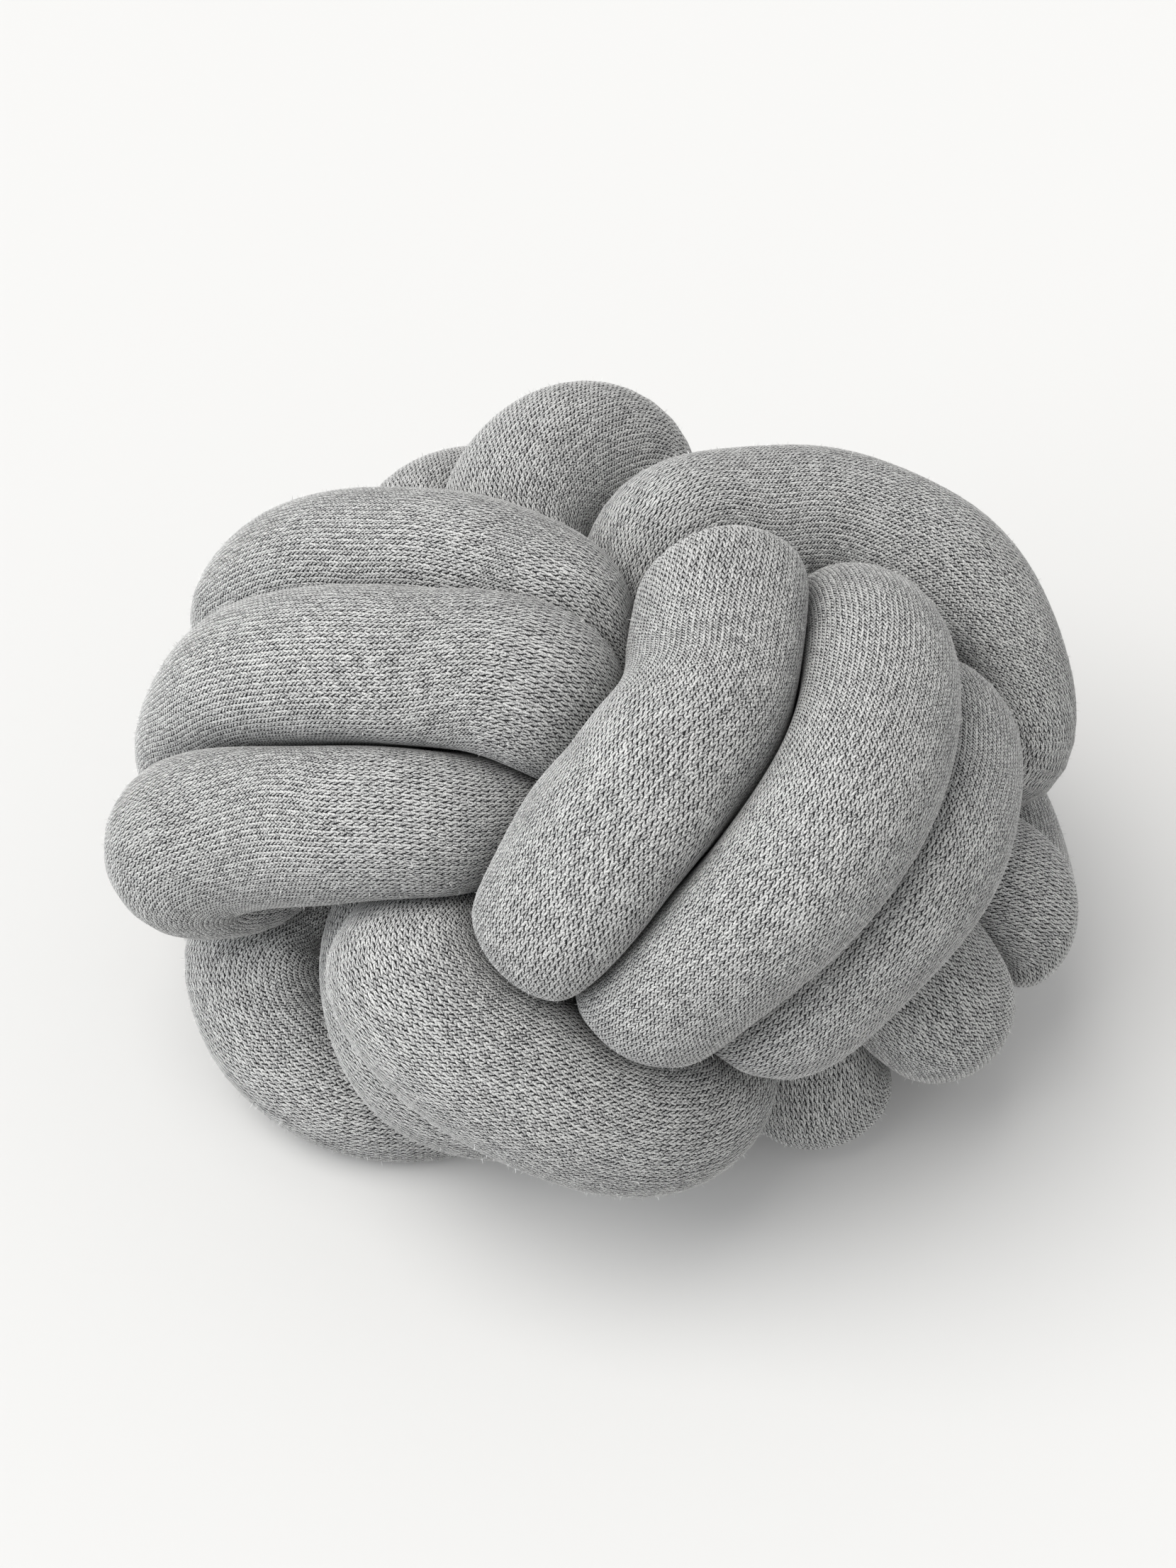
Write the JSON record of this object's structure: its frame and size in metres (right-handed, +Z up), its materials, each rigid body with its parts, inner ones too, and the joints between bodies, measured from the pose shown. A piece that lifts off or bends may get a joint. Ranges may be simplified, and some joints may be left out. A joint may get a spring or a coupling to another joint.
{
  "type": "knot cushion",
  "caption": "Ball-shaped knot cushion: one long stuffed tube of grey knitted cloth tied in crossing coils, to lean on or set on a sofa.",
  "frame": {"origin": "middle of the cushion's reach, on the surface it rests on", "axes": "+Z up, +X along the cushion's longest side, +Y from the side the picture shows toward the back"},
  "size_m": [0.2926, 0.2678, 0.1957],
  "materials": {
    "heather_knit": "fine knitted cloth, heather grey"
  },
  "bodies": {
    "root": {"knot_tube": "heather_knit"}
  },
  "joints": []
}
